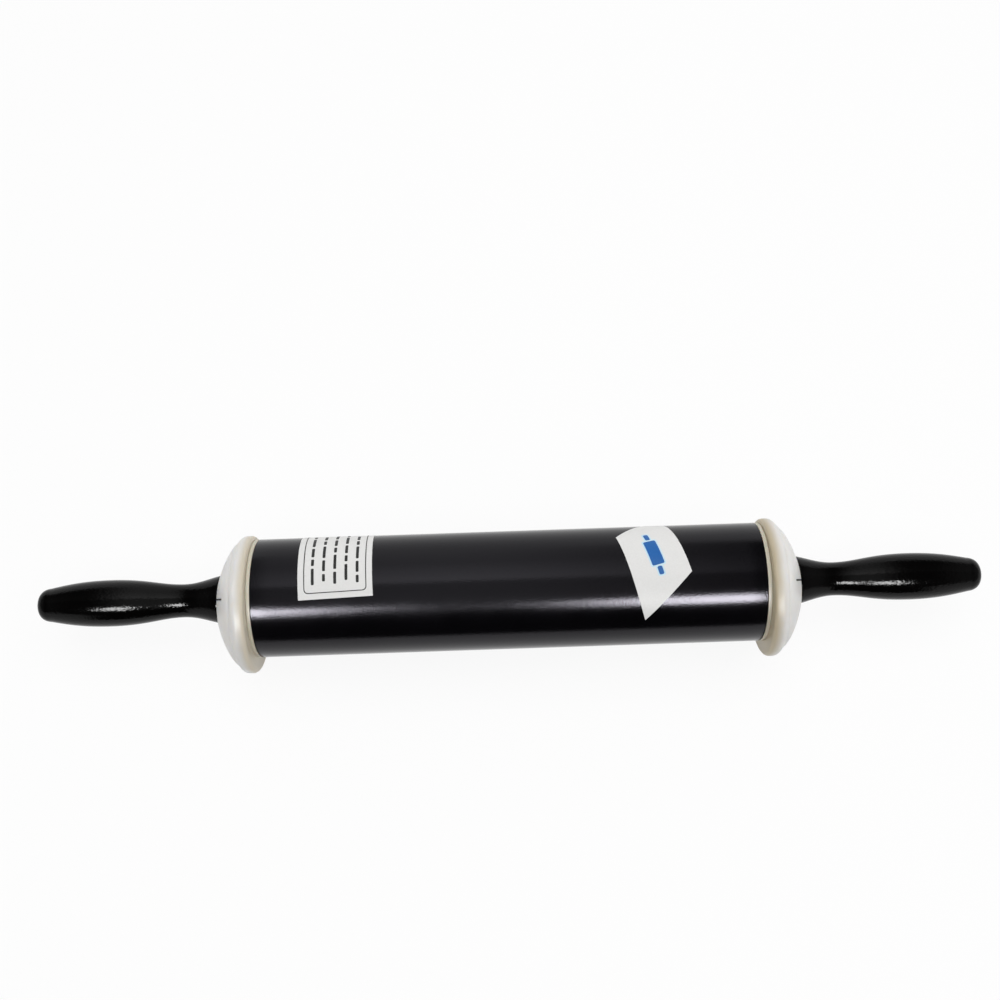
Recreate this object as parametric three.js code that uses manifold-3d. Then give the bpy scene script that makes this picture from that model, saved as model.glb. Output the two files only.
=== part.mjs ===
// Adjustable rolling pin. A coated metal barrel spins on a through axle. An eccentric cap at
// each end slides on the worktop on one of its flats, and turning the caps sets the barrel's height.
// Millimetres, +Z up, X along the pin, worktop at z = 0.

import * as THREE from 'three';
import { mergeVertices } from 'three/addons/utils/BufferGeometryUtils.js';
import Module from 'manifold-3d';

const wasm = await Module();
wasm.setup();

// Whole pin
const overallLength = 508;

// Barrel
const barrelLength = 266.7;
const barrelDiameter = 63.5;
const barrelWall = 2;

// Setting of the caps: the dough gap is middleGap plus or minus the eccentricity
const middleGap = 4.7625;
const eccentricity = 3.175;
const flatCount = 4;
const flatDepth = 0.4;

// Outside of a thickness cap
const capDepth = 18.6;
const rimRound = 2.4;
const rimFlat = 1.6;
const rimShoulder = 4.2;
const valleyDrop = 3.3;
const collarDiameter = 32;
const collarRound = 1.6;
const collarDrop = 0.6;

// Inside of a thickness cap
const capWall = 2.6;
const capMouthDiameter = 54;
const capHubDiameter = 19;
const capRibCount = 8;
const capRibThickness = 1.8;
const capRibInset = 5.5;
const pocketFloorWall = 2;

// End plugs
const plugFlange = 1.7;
const plugDepth = 18;
const plugWall = 2.4;
const plugPlate = 2.6;
const plugHubWall = 3;
const plugRibCount = 6;
const plugRibThickness = 2;

// Bearing bushes, thrust washers and retaining rings
const bushWall = 2.2;
const bushLength = 17;
const bushFlangeWidth = 2.2;
const bushFlange = 1.2;
const washerWidth = 3.6;
const washerThickness = 0.8;
const ringWidth = 2.6;
const ringThickness = 1;
const ringGrooveDepth = 0.5;
const ringOpening = 5;

// Axle
const axleDiameter = 9.5;
const threadDiameter = 8;
const threadFlatDepth = 1;
const threadProud = 1.5;
const axleChamfer = 0.6;

// Index springs
const springThickness = 0.6;
const springHubWidth = 3.2;
const tongueWidth = 5;
const tongueReach = 11.3;
const nubDiameter = 2.4;
const nubHeight = 0.9;
const nubFromTip = 1.9;
const clickCount = 3;
const clickTravel = Math.PI;

// Lock nuts and threaded inserts
const nutAcrossFlats = 13;
const nutHeight = 4;
const insertWall = 1.7;
const insertLength = 17;
const insertFlangeWidth = 1.5;
const insertFlange = 1.4;

// Handles
const handleBaseDiameter = 25.8;
const handleBaseRound = 1;
const handleNeckDiameter = 17.9;
const handleNeckFromBase = 21;
const handleBellyDiameter = 25.1;
const handleBellyFromTip = 39;
const handleTipDiameter = 18.2;
const handleTipLength = 7;
const handleBoreRunout = 3;

// Clearances
const seatGap = 0.1;
const runGap = 0.15;
const faceGap = 0.4;
const nutGap = 0.6;

// How the round curves lean, as shares of the stretch that they cross
const shoulderLean = 0.62;
const domeStart = { run: 0.22, fall: 0.04 };
const domeEnd = { run: 0.61, fall: 0.38 };
const flareStart = { run: 0.3, fall: 0.28 };
const flareEndRun = 0.6;
const neckLean = 0.32;
const bellyLean = 0.5;
const taperStart = 0.39;
const taperEnd = { run: 0.66, fall: 0.33 };
const tipStart = { run: 0.75, fall: 0.05 };
const tipEndRadius = 0.63;

// Facets
const barrelFacets = 40;
const handleFacets = 24;
const smallFacets = 20;
const arcSteps = 3;
const domeSteps = 6;
const handleSteps = 4;

// Radii that follow from the driving sizes
const barrelRadius = barrelDiameter / 2;
const tubeBore = barrelRadius - barrelWall;
const restRadius = barrelRadius + middleGap;
const crestRadius = restRadius + flatDepth;
const axleRadius = axleDiameter / 2;
const threadRadius = threadDiameter / 2;
const bushBore = axleRadius + runGap;
const bushRadius = bushBore + bushWall;
const plugBore = bushRadius + seatGap;
const plugHubRadius = plugBore + plugHubWall;
const collarRadius = collarDiameter / 2;
const capBore = axleRadius + runGap;
const insertBore = threadRadius + seatGap;
const insertRadius = insertBore + insertWall;
const insertFlangeRadius = insertRadius + insertFlangeWidth;
const nutCorner = nutAcrossFlats / Math.sqrt(3);
const springHubRadius = threadRadius + springHubWidth;
const nubPitchRadius = tongueReach - nubFromTip;

// Stations along the axis, measured outward from the end of the tube
const plugFace = seatGap + plugFlange;
const bushSeat = plugFace + seatGap;
const bushFace = bushSeat + bushFlange;
const washerSeat = bushFace + runGap;
const ringSeat = washerSeat + washerThickness + runGap;
const ringFace = ringSeat + ringThickness;
const capHubStart = ringFace + runGap;
const capStart = plugFace + faceGap;
const capEnd = capStart + capDepth;
const handleStart = capEnd + runGap;
const springEnd = capEnd - runGap;
const springStart = springEnd - springThickness;
const axleShoulder = springStart - seatGap;
const pocketDepth = runGap + springThickness + nubHeight + runGap;
const nutStart = springEnd + seatGap;
const nutEnd = nutStart + nutHeight;
const insertStart = nutEnd + seatGap;
const insertEnd = insertStart + insertLength;
const axleEnd = insertEnd + threadProud;
const handleLength = overallLength / 2 - barrelLength / 2 - handleStart;

// Materials
const metal = (color, roughness) => new THREE.MeshStandardMaterial({ color, roughness, metalness: 1 });
const plain = (color, roughness) => new THREE.MeshStandardMaterial({ color, roughness, metalness: 0 });
const coatedMetal = plain(0x17161a, 0.32);
const pearlPlastic = plain(0xe6e4de, 0.3);
const whiteNylon = plain(0xdedbd2, 0.45);
const blackLacquer = plain(0x0d0c0c, 0.2);
const steel = metal(0xb9bbbe, 0.3);
const springSteel = metal(0x8f9397, 0.35);
const bronze = metal(0xa57c4a, 0.4);
const brass = metal(0xc9a65a, 0.35);

// A closed solid from a geometry, with shared corners merged and collapsed faces dropped
function solid(geometry) {
  const bare = geometry.clone();
  bare.deleteAttribute('normal');
  bare.deleteAttribute('uv');
  const merged = mergeVertices(bare, 1e-4);
  const index = merged.index.array;
  const triVerts = [];
  for (let i = 0; i < index.length; i += 3) {
    const [a, b, c] = [index[i], index[i + 1], index[i + 2]];
    if (a !== b && b !== c && a !== c) triVerts.push(a, b, c);
  }
  const vertProperties = new Float32Array(merged.attributes.position.array);
  const mesh = new wasm.Mesh({ numProp: 3, vertProperties, triVerts: new Uint32Array(triVerts) });
  return new wasm.Manifold(mesh);
}

// The geometry of a solid, for a mesh
function geometryOf(body) {
  const mesh = body.getMesh();
  const geometry = new THREE.BufferGeometry();
  geometry.setAttribute('position', new THREE.BufferAttribute(new Float32Array(mesh.vertProperties), 3));
  geometry.setIndex(new THREE.BufferAttribute(new Uint32Array(mesh.triVerts), 1));
  geometry.computeVertexNormals();
  return geometry;
}

const joined = (bodies) => bodies.reduce((all, body) => all.add(body));

// A profile point: radius from the axis, then the station along it
const at = (radius, station) => new THREE.Vector2(radius, station);

// A solid of revolution about the X axis. The profile runs with the material on its left
function turned(points, facets) {
  return solid(new THREE.LatheGeometry(points, facets).rotateZ(-Math.PI / 2));
}

// A ring or stepped sleeve: its profile closes on itself
const turnedRing = (points, facets) => turned([...points, points[0]], facets);

// A plain disc or shaft from one station to another
function disc(radius, from, to, facets) {
  return turned([at(0, from), at(radius, from), at(radius, to), at(0, to)], facets);
}

// A flat outline in the plane across the axis, cut out between two stations
function plate(shape, from, to) {
  const settings = { depth: to - from, bevelEnabled: false, curveSegments: smallFacets / 2 };
  const geometry = new THREE.ExtrudeGeometry(shape, settings);
  return solid(geometry.rotateX(Math.PI / 2).rotateZ(Math.PI / 2).translate(from, 0, 0));
}

// A box between two corners, turned about the X axis
function block(low, high, angle = 0) {
  const size = new THREE.Vector3().subVectors(high, low);
  const middle = new THREE.Vector3().addVectors(low, high).multiplyScalar(0.5);
  const geometry = new THREE.BoxGeometry(size.x, size.y, size.z);
  return solid(geometry.translate(middle.x, middle.y, middle.z).rotateX(angle));
}

// Ribs that stand round a hub, each a thin wall from the axis outward
function ribs(count, thickness, reach, from, to) {
  const low = new THREE.Vector3(from, 0, -thickness / 2);
  const high = new THREE.Vector3(to, reach, thickness / 2);
  const turn = (2 * Math.PI) / count;
  return joined(Array.from({ length: count }, (_, i) => block(low, high, i * turn)));
}

// Barrel tube, centred on the pin
function makeBarrelTube() {
  const half = barrelLength / 2;
  return turnedRing([
    at(tubeBore, -half),
    at(barrelRadius, -half),
    at(barrelRadius, half),
    at(tubeBore, half),
  ], barrelFacets);
}

// Axle: plain between its shoulders, grooved for the snap rings, threaded with a flat at the ends
function makeAxle() {
  const half = barrelLength / 2;
  const groove = axleRadius - ringGrooveDepth;
  const side = [
    at(axleRadius, ringSeat),
    at(groove, ringSeat),
    at(groove, ringFace),
    at(axleRadius, ringFace),
    at(axleRadius, axleShoulder),
    at(threadRadius, axleShoulder),
    at(threadRadius, axleEnd - axleChamfer),
    at(threadRadius - axleChamfer, axleEnd),
    at(0, axleEnd),
  ];
  const right = side.map((p) => at(p.x, half + p.y));
  const left = side.map((p) => at(p.x, -half - p.y)).reverse();
  const shaft = turned([...left, ...right], smallFacets);
  const flat = (from, to) => block(
    new THREE.Vector3(from, -axleDiameter, -axleDiameter),
    new THREE.Vector3(to, threadFlatDepth - threadRadius, axleDiameter),
  );
  const start = half + axleShoulder;
  const end = half + axleEnd + axleChamfer;
  return shaft.subtract(flat(start, end)).subtract(flat(-end, -start));
}

// End plug: flange, skirt inside the tube, bearing hub and ribs between them
function makeEndPlug() {
  const skirt = tubeBore - seatGap;
  const skirtBore = skirt - plugWall;
  const back = plugFace - plugPlate;
  const body = turnedRing([
    at(skirt, -plugDepth),
    at(skirt, seatGap),
    at(barrelRadius, seatGap),
    at(barrelRadius, plugFace),
    at(plugBore, plugFace),
    at(plugBore, -plugDepth),
    at(plugHubRadius, -plugDepth),
    at(plugHubRadius, back),
    at(skirtBore, back),
    at(skirtBore, -plugDepth),
  ], barrelFacets);
  const ribReach = skirt - plugWall / 2;
  const ribBack = -plugDepth + plugWall;
  const ribHub = disc(plugBore + plugHubWall / 2, -2 * plugDepth, plugFace, smallFacets);
  const web = ribs(plugRibCount, plugRibThickness, ribReach, ribBack, back + plugPlate / 2);
  return body.add(web.subtract(ribHub));
}

// Bearing bush: a flanged sleeve in the plug's hub
function makeBearingBush() {
  const flangeRadius = bushRadius + bushFlangeWidth;
  return turnedRing([
    at(bushBore, bushSeat - bushLength),
    at(bushRadius, bushSeat - bushLength),
    at(bushRadius, bushSeat),
    at(flangeRadius, bushSeat),
    at(flangeRadius, bushFace),
    at(bushBore, bushFace),
  ], smallFacets);
}

// Thrust washer between the bush and the snap ring
function makeThrustWasher() {
  const bore = axleRadius + runGap;
  const end = washerSeat + washerThickness;
  return turnedRing([
    at(bore, washerSeat),
    at(bore + washerWidth, washerSeat),
    at(bore + washerWidth, end),
    at(bore, end),
  ], smallFacets);
}

// Retaining ring: an open snap ring in the axle's groove
function makeRetainingRing() {
  const inside = axleRadius - ringGrooveDepth + seatGap;
  const outside = inside + ringWidth;
  const edge = ringOpening / 2;
  const outer = Math.asin(edge / outside);
  const inner = Math.asin(edge / inside);
  const shape = new THREE.Shape();
  shape.absarc(0, 0, outside, outer, -outer, false);
  shape.absarc(0, 0, inside, -inner, inner, true);
  shape.closePath();
  return plate(shape, ringSeat + seatGap / 2, ringFace - seatGap / 2);
}

// Outside of the cap, turned about its own centre: rounded rim, valley, dome and collar
function capOutside() {
  const crestEnd = rimRound + rimFlat;
  const valleyAt = crestEnd + rimShoulder;
  const valleyRadius = crestRadius - valleyDrop;
  const domeEndAt = capDepth - collarDrop;
  const run = domeEndAt - valleyAt;
  const fall = valleyRadius - collarRadius - collarRound;
  const dome = new THREE.CubicBezierCurve(
    at(valleyRadius, valleyAt),
    at(valleyRadius - domeStart.fall * fall, valleyAt + domeStart.run * run),
    at(valleyRadius - domeEnd.fall * fall, valleyAt + domeEnd.run * run),
    at(collarRadius + collarRound, domeEndAt),
  );
  const rim = new THREE.Path();
  rim.absarc(crestRadius - rimRound, rimRound, rimRound, -Math.PI / 2, 0, false);
  rim.lineTo(crestRadius, crestEnd);
  rim.quadraticCurveTo(crestRadius, crestEnd + shoulderLean * rimShoulder, valleyRadius, valleyAt);
  const collar = new THREE.QuadraticBezierCurve(
    at(collarRadius + collarRound, domeEndAt),
    at(collarRadius, capDepth),
    at(collarRadius - collarRound, capDepth),
  );
  return { rim: rim.getPoints(arcSteps), dome, collar: collar.getPoints(arcSteps) };
}

// Hollow of the cap: the dome set in by the wall, no wider than the mouth. With a smaller
// share of the walls it is the room that the ribs fill, so that they root in the walls
function capHollow(dome, share = 1) {
  const wall = capWall * share;
  const end = capDepth - pocketDepth - pocketFloorWall * share;
  const mouthRadius = capMouthDiameter / 2 + capWall - wall;
  const inner = dome.getPoints(domeSteps).map((point, i) => {
    const along = dome.getTangent(i / domeSteps);
    return at(point.x - along.y * wall, point.y + along.x * wall);
  });
  const mouth = at(inner[0].x, -faceGap);
  const tip = inner[inner.length - 1];
  const bell = turned([at(0, -faceGap), mouth, ...inner, at(0, tip.y)], barrelFacets);
  return bell.intersect(disc(mouthRadius, -faceGap, end, barrelFacets));
}

// Pocket in the cap's end face: room for the spring's hub, a half-turn track for its tongue
// with a straight wall that stops it, and the dimples that the nub clicks into
function capPocket() {
  const floor = capDepth - pocketDepth;
  const top = capDepth + faceGap;
  const track = tongueReach + faceGap;
  const stop = tongueWidth / 2 + runGap;
  const half = Math.acos(-stop / track);
  const shape = new THREE.Shape();
  shape.absarc(0, 0, track, -half, half, false);
  shape.closePath();
  const hubRoom = disc(Math.max(springHubRadius, nutCorner) + faceGap, floor, top, smallFacets);
  const dimple = new THREE.SphereGeometry(nubDiameter / 2, 12, 8);
  const dimples = Array.from({ length: clickCount }, (_, i) => {
    const angle = (i / (clickCount - 1) - 0.5) * clickTravel;
    const y = nubPitchRadius * Math.cos(angle);
    const z = nubPitchRadius * Math.sin(angle);
    return solid(dimple.clone().translate(floor, y, z));
  });
  return joined([plate(shape, floor, top), hubRoom, ...dimples]);
}

// Thickness cap. The axle's axis is the X axis here, and the thick side is +Y
function makeThicknessCap() {
  const { rim, dome, collar } = capOutside();
  const domePoints = dome.getPoints(domeSteps).slice(1, -1);
  const outline = [at(0, 0), ...rim, ...domePoints, ...collar, at(0, capDepth)];
  const shell = turned(outline, barrelFacets).subtract(capHollow(dome)).translate([0, eccentricity, 0]);
  const ribRoom = capHollow(dome, 0.5).translate([0, eccentricity, 0]);
  const hubStart = capHubStart - capStart;
  const hub = disc(capHubDiameter / 2, hubStart, capDepth - pocketDepth, smallFacets);
  const fins = ribs(capRibCount, capRibThickness, 2 * crestRadius, capRibInset, capDepth);
  const flats = Array.from({ length: flatCount }, (_, i) => block(
    new THREE.Vector3(-capDepth, restRadius, -crestRadius),
    new THREE.Vector3(2 * capDepth, restRadius + crestRadius, crestRadius),
    (i * 2 * Math.PI) / flatCount,
  ).translate([0, eccentricity, 0]));
  const bore = disc(capBore, -faceGap, capDepth + faceGap, smallFacets);
  return joined([shell, hub, fins.intersect(ribRoom)])
    .subtract(joined(flats))
    .subtract(capPocket())
    .subtract(bore)
    .translate([capStart, 0, 0]);
}

// Index spring: a hub keyed on the axle's flat, and a tongue towards +Y with a nub
function makeIndexSpring() {
  const side = tongueWidth / 2;
  const root = Math.asin(side / springHubRadius);
  const shape = new THREE.Shape();
  shape.absarc(0, 0, springHubRadius, root, -root, false);
  shape.lineTo(tongueReach - side, -side);
  shape.absarc(tongueReach - side, 0, side, -Math.PI / 2, Math.PI / 2, false);
  shape.closePath();
  const keyRadius = threadRadius + seatGap;
  const key = Math.acos((threadRadius - threadFlatDepth + seatGap) / keyRadius);
  const hole = new THREE.Path();
  hole.absarc(0, 0, keyRadius, key, 2 * Math.PI - key, false);
  hole.closePath();
  shape.holes.push(hole);
  const nub = new THREE.CylinderGeometry(nubDiameter / 2, nubDiameter / 4, nubHeight + seatGap, 12);
  const nubMiddle = springStart + (seatGap - nubHeight) / 2;
  const turnedNub = nub.rotateZ(-Math.PI / 2).translate(nubMiddle, nubPitchRadius, 0);
  return plate(shape, springStart, springEnd).add(solid(turnedNub));
}

// Lock nut: a thin hexagon on the axle's thread
function makeLockNut() {
  const hexagon = disc(nutCorner, nutStart, nutEnd, 6);
  return hexagon.subtract(disc(insertBore, nutStart - faceGap, nutEnd + faceGap, smallFacets));
}

// Threaded insert: a flanged brass sleeve in the handle
function makeThreadedInsert() {
  return turnedRing([
    at(insertBore, insertStart),
    at(insertFlangeRadius, insertStart),
    at(insertFlangeRadius, insertStart + insertFlange),
    at(insertRadius, insertStart + insertFlange),
    at(insertRadius, insertEnd),
    at(insertBore, insertEnd),
  ], smallFacets);
}

// Handle: turned with a flared base, a waist, a swelling grip and a blunt tip
function makeHandle() {
  const base = handleBaseDiameter / 2;
  const neck = handleNeckDiameter / 2;
  const belly = handleBellyDiameter / 2;
  const tip = handleTipDiameter / 2;
  const bellyAt = handleLength - handleBellyFromTip;
  const tipAt = handleLength - handleTipLength;
  const flare = handleNeckFromBase - handleBaseRound;
  const swell = bellyAt - handleNeckFromBase;
  const taper = tipAt - bellyAt;
  const grip = new THREE.Path();
  grip.moveTo(base - handleBaseRound, 0);
  grip.quadraticCurveTo(base, 0, base, handleBaseRound);
  grip.bezierCurveTo(
    base - flareStart.fall * (base - neck),
    handleBaseRound + flareStart.run * flare,
    neck,
    handleBaseRound + flareEndRun * flare,
    neck,
    handleNeckFromBase,
  );
  grip.bezierCurveTo(
    neck,
    handleNeckFromBase + neckLean * swell,
    belly,
    bellyAt - bellyLean * swell,
    belly,
    bellyAt,
  );
  grip.bezierCurveTo(
    belly,
    bellyAt + taperStart * taper,
    belly - taperEnd.fall * (belly - tip),
    bellyAt + taperEnd.run * taper,
    tip,
    tipAt,
  );
  grip.bezierCurveTo(
    tip - tipStart.fall * tip,
    tipAt + tipStart.run * handleTipLength,
    tipEndRadius * tip,
    handleLength,
    0,
    handleLength,
  );
  const nutRoom = Math.max(nutCorner, insertFlangeRadius) + nutGap;
  const flangeEnd = insertStart + insertFlange + seatGap - handleStart;
  const pilot = insertBore + seatGap;
  const sleeveEnd = insertEnd + seatGap - handleStart;
  const boreEnd = axleEnd + handleBoreRunout - handleStart;
  const bore = [
    at(0, boreEnd),
    at(pilot, boreEnd),
    at(pilot, sleeveEnd),
    at(insertRadius + seatGap, sleeveEnd),
    at(insertRadius + seatGap, flangeEnd),
    at(nutRoom, flangeEnd),
    at(nutRoom, 0),
  ];
  const outline = [...bore, ...grip.getPoints(handleSteps)];
  return turned(outline, handleFacets).translate([handleStart, 0, 0]);
}

// Assembly. The barrel axis stands over the worktop beside the centre line of the caps
const axisHeight = restRadius;
const axisSetBack = eccentricity;
const pin = new THREE.Group();
pin.position.set(0, axisSetBack, axisHeight);

function place(parent, name, geometry, material) {
  const mesh = new THREE.Mesh(geometry, material);
  mesh.name = name;
  parent.add(mesh);
}

place(pin, 'barrel_tube', geometryOf(makeBarrelTube()), coatedMetal);
place(pin, 'axle_rod', geometryOf(makeAxle()), steel);

const endPieces = [
  ['end_plug', geometryOf(makeEndPlug()), whiteNylon],
  ['bearing_bush', geometryOf(makeBearingBush()), bronze],
  ['thrust_washer', geometryOf(makeThrustWasher()), whiteNylon],
  ['retaining_ring', geometryOf(makeRetainingRing()), springSteel],
  ['lock_nut', geometryOf(makeLockNut()), steel],
  ['threaded_insert', geometryOf(makeThreadedInsert()), brass],
  ['handle', geometryOf(makeHandle()), blackLacquer],
];
const settingPieces = [
  ['thickness_cap', geometryOf(makeThicknessCap()), pearlPlastic],
  ['index_spring', geometryOf(makeIndexSpring()), springSteel],
];

// Both ends take the same pieces. At the middle setting the thick side faces the front, -Y
for (const side of ['left', 'right']) {
  const end = new THREE.Group();
  const setting = new THREE.Group();
  const outward = side === 'right' ? 1 : -1;
  end.position.x = (outward * barrelLength) / 2;
  end.rotation.z = side === 'right' ? 0 : Math.PI;
  setting.rotation.x = side === 'right' ? Math.PI : 0;
  for (const [name, geometry, material] of endPieces) place(end, `${side}_${name}`, geometry, material);
  for (const [name, geometry, material] of settingPieces) {
    place(setting, `${side}_${name}`, geometry, material);
  }
  end.add(setting);
  pin.add(end);
}

const rollingPin = new THREE.Group();
rollingPin.add(pin);

export default rollingPin;
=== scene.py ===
# %% [markdown]
# # A rolling pin with thickness caps
#
# A black coated barrel spins on an axle between two turned handles. A pearly cap at each end is
# larger than the barrel and out of centre with it, so turning the caps sets how thin the dough gets.
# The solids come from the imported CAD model, which is loaded first as a fixed frame. Everything below
# dresses that frame: finer skins for the pieces that show, labels, marks, finishes, light and a camera.

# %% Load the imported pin
import math

import bmesh
import bpy
from mathutils import Matrix, Quaternion, Vector
from mathutils.geometry import interpolate_bezier


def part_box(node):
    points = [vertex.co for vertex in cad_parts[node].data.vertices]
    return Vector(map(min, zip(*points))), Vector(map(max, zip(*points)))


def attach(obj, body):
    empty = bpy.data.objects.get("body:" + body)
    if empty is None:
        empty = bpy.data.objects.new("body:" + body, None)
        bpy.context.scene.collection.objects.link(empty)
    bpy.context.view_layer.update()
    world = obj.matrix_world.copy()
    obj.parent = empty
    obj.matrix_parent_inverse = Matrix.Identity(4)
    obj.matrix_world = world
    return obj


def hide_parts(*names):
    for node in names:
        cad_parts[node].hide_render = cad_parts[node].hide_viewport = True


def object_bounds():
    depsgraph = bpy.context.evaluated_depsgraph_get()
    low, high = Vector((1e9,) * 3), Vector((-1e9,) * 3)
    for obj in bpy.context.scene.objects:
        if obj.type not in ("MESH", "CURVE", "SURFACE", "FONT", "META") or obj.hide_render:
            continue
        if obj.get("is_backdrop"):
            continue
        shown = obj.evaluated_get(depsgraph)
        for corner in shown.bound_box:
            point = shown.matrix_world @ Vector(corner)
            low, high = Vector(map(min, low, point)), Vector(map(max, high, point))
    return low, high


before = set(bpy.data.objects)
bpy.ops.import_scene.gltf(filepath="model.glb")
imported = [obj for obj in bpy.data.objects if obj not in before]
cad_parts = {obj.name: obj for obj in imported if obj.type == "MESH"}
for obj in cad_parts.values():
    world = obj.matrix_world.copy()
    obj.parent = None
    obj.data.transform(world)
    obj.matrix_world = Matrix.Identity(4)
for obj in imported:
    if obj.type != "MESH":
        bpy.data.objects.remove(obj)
cad_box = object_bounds()

# %% [markdown]
# ## Sizes from the frame
#
# A size could be typed in again here, but then it could drift from the CAD model. So each size that
# a node's box can tell is read from that box. Both ends take the same pieces, so they are read on
# the right, as stations: distances along the axle, outward from the end of the tube.

# %% Read the main sizes
MM = 0.001

tube_low, tube_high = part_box("barrel_tube")
tube_end = tube_high.x
barrel_radius = (tube_high.z - tube_low.z) / 2
axis = Vector((0, (tube_low.y + tube_high.y) / 2, (tube_low.z + tube_high.z) / 2))


def stations(node):
    """Where an end piece starts and ends along the axle, outward from the end of the tube."""
    low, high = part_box("right_" + node)
    return low.x - tube_end, high.x - tube_end


def across(node):
    """Half the height of an end piece."""
    low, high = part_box("right_" + node)
    return (high.z - low.z) / 2


plug_back, plug_face = stations("end_plug")
cap_start, cap_end = stations("thickness_cap")
grip_start, grip_end = stations("handle")
rest_radius = across("thickness_cap")
grip_base = across("handle")
cap_low, cap_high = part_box("right_thickness_cap")
eccentricity = axis.y - (cap_low.y + cap_high.y) / 2
print(f"barrel {2 * tube_end / MM:.1f} x {2 * barrel_radius / MM:.1f} mm")
print(f"caps out of centre by {eccentricity / MM:.3f} mm")

# %% [markdown]
# ## Camera
#
# The photograph looks steeply down on the pin, which lies a little below the middle of the picture
# with its right end slightly higher. A camera could be tried by hand until it fits. Here its place
# is worked out instead, from the view's angle at the pin, its distance, and the pixel where the
# middle of the axle falls. Rolling the camera a little lifts the pin's right end in the picture.

# %% Place the camera
PICTURE = 1000
FOCAL_PIXELS = 1160
SENSOR = 36
VIEW_ELEVATION = math.radians(77)
VIEW_ROLL = math.radians(-1.97)
VIEW_DISTANCE = 629 * MM
AXLE_MIDDLE_PIXEL = (508.5, 589.8)

camera_data = bpy.data.cameras.new("camera")
camera_data.sensor_width = SENSOR
camera_data.lens = SENSOR * FOCAL_PIXELS / PICTURE
camera_data.clip_start = 10 * MM
camera = bpy.data.objects.new("camera", camera_data)
bpy.context.scene.collection.objects.link(camera)
bpy.context.scene.camera = camera

towards_camera = Vector((0, -math.cos(VIEW_ELEVATION), math.sin(VIEW_ELEVATION)))
facing_pin = (-towards_camera).to_track_quat("-Z", "Y")
roll = Quaternion((0, 0, 1), VIEW_ROLL)
pixel_right = AXLE_MIDDLE_PIXEL[0] - PICTURE / 2
pixel_down = AXLE_MIDDLE_PIXEL[1] - PICTURE / 2
tilt_up = Quaternion((1, 0, 0), math.atan2(pixel_down, FOCAL_PIXELS))
turn_left = Quaternion((0, 1, 0), math.atan2(pixel_right, FOCAL_PIXELS))
camera.location = axis + VIEW_DISTANCE * towards_camera
camera.rotation_mode = "QUATERNION"
camera.rotation_quaternion = facing_pin @ roll @ tilt_up @ turn_left
bpy.context.view_layer.update()


def pixel_of(point):
    """The picture's pixel where a point of the frame falls."""
    seen = camera.matrix_world.inverted() @ Vector(point)
    return (
        PICTURE / 2 - FOCAL_PIXELS * seen.x / seen.z,
        PICTURE / 2 + FOCAL_PIXELS * seen.y / seen.z,
    )


for side in (-1, 1):
    x, y = pixel_of(axis + Vector((side * (tube_end + grip_end), 0, 0)))
    print(f"handle tip at pixel {x:.1f}, {y:.1f}")

# %% [markdown]
# ## Turned and moulded skins
#
# Barrel, plugs, caps and handles are all round across the axle. A Screw modifier could spin one
# profile, but the caps mix circles round the axle with circles round their own, shifted centre. So a
# skin is made here from rings: each has a station, a radius and a centre, and quads join it to the
# next. Outlines are curves and rounded corners, so that every edge catches light as a real one does.

# %% Curves, corners and rings
def bend(start, leave, arrive, end, steps):
    """Points of a smooth stretch that leaves start towards one point and reaches end from another."""
    knots = [Vector(point) for point in (start, leave, arrive, end)]
    return [tuple(point) for point in interpolate_bezier(*knots, steps + 1)]


def corner(start, peak, end, steps):
    """Points of a stretch that turns once, towards a peak."""
    leave = Vector(start).lerp(Vector(peak), 2 / 3)
    arrive = Vector(end).lerp(Vector(peak), 2 / 3)
    return bend(start, leave, arrive, end, steps)


def rounded(outline, radii, steps=5):
    """A closed outline with a radius at each corner, where 0 keeps the corner sharp."""
    made = []
    for i, (point, radius) in enumerate(zip(outline, radii)):
        here = Vector(point)
        back = (Vector(outline[i - 1]) - here).normalized()
        ahead = (Vector(outline[(i + 1) % len(outline)]) - here).normalized()
        if radius == 0:
            made.append(tuple(here))
            continue
        reach = radius / math.tan(back.angle(ahead) / 2)
        made += corner(here + reach * back, here, here + reach * ahead, steps)
    return made


def spaced(outline, longest):
    """The closed outline with points added wherever two are further apart than longest."""
    made = []
    for i, point in enumerate(outline):
        here, ahead = Vector(point), Vector(outline[(i + 1) % len(outline)])
        count = max(1, math.ceil((ahead - here).length / longest))
        made += [tuple(here.lerp(ahead, k / count)) for k in range(count)]
    return made


def new_piece(name, shape):
    """An object from a bmesh, smooth but for its sharp edges."""
    bmesh.ops.recalc_face_normals(shape, faces=shape.faces)
    mesh = bpy.data.meshes.new(name)
    shape.to_mesh(mesh)
    shape.free()
    piece = bpy.data.objects.new(name, mesh)
    bpy.context.scene.collection.objects.link(piece)
    return piece


def ring_skin(name, rings, segments, flat=None):
    """A closed solid through rings of (station, radius, centre). It starts and ends on the axle, or
    its last ring joins its first. Flats at four quarters cut the rings that reach beyond them."""
    shape = bmesh.new()
    loops = []
    for station, radius, centre in rings:
        loop = []
        for k in range(segments if radius else 1):
            angle = 2 * math.pi * k / segments
            from_flat = (angle + math.pi / 4) % (math.pi / 2) - math.pi / 4
            reach = min(radius, flat / math.cos(from_flat)) if flat else radius
            place = (station, centre + reach * math.cos(angle), reach * math.sin(angle))
            loop.append(shape.verts.new(place))
        loops.append(loop)
    pairs = list(zip(loops, loops[1:]))
    if len(loops[0]) > 1:
        pairs.append((loops[-1], loops[0]))
    for first, second in pairs:
        for k in range(segments):
            ahead = (k + 1) % segments
            corners = [first[k % len(first)], first[ahead % len(first)]]
            corners += [second[ahead % len(second)], second[k % len(second)]]
            shape.faces.new(list(dict.fromkeys(corners)))
    return new_piece(name, shape)


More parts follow.
